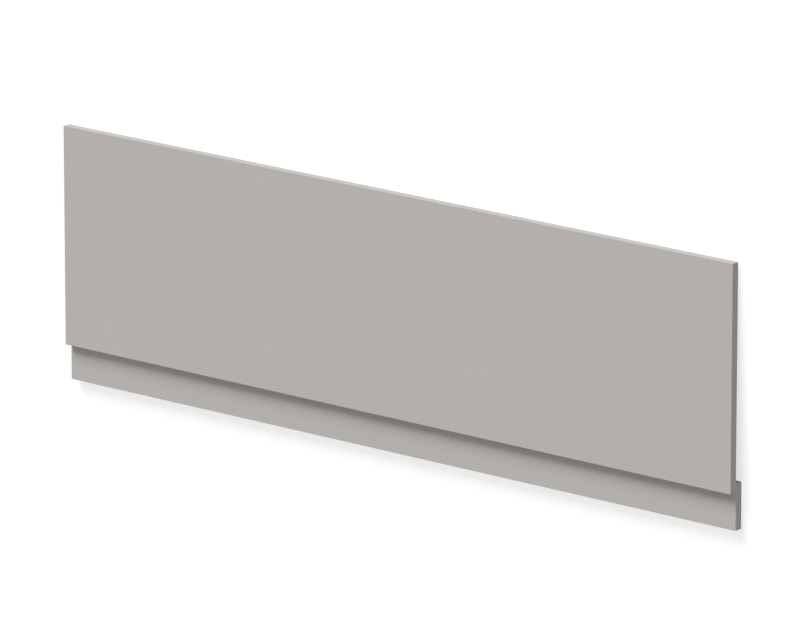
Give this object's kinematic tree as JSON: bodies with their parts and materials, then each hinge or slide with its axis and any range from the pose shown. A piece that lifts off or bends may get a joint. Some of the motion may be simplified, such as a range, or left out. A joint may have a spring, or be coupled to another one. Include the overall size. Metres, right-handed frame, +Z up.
{
  "type": "bath panel",
  "caption": "Flat rectangular front panel in satin grey board that hides the side of a bath, with a narrow plinth board set back and screwed behind its lower edge.",
  "frame": {"origin": "on the floor under the middle of the outline, with the panel lying on its back", "axes": "+X along the boards; +Y from the plinth's foot towards the panel's top edge; +Z up, out of the front face, which leans 2.24 degrees from level because the part rests on two edges"},
  "size_m": [1.8, 0.561, 0.0367],
  "materials": {
    "board": "satin grey foil",
    "screw": "zinc plated"
  },
  "bodies": {
    "root": {"front_panel": "board", "plinth": "board", "plinth_screw_1": "screw", "plinth_screw_2": "screw", "plinth_screw_3": "screw", "plinth_screw_4": "screw", "plinth_screw_5": "screw"}
  },
  "joints": []
}
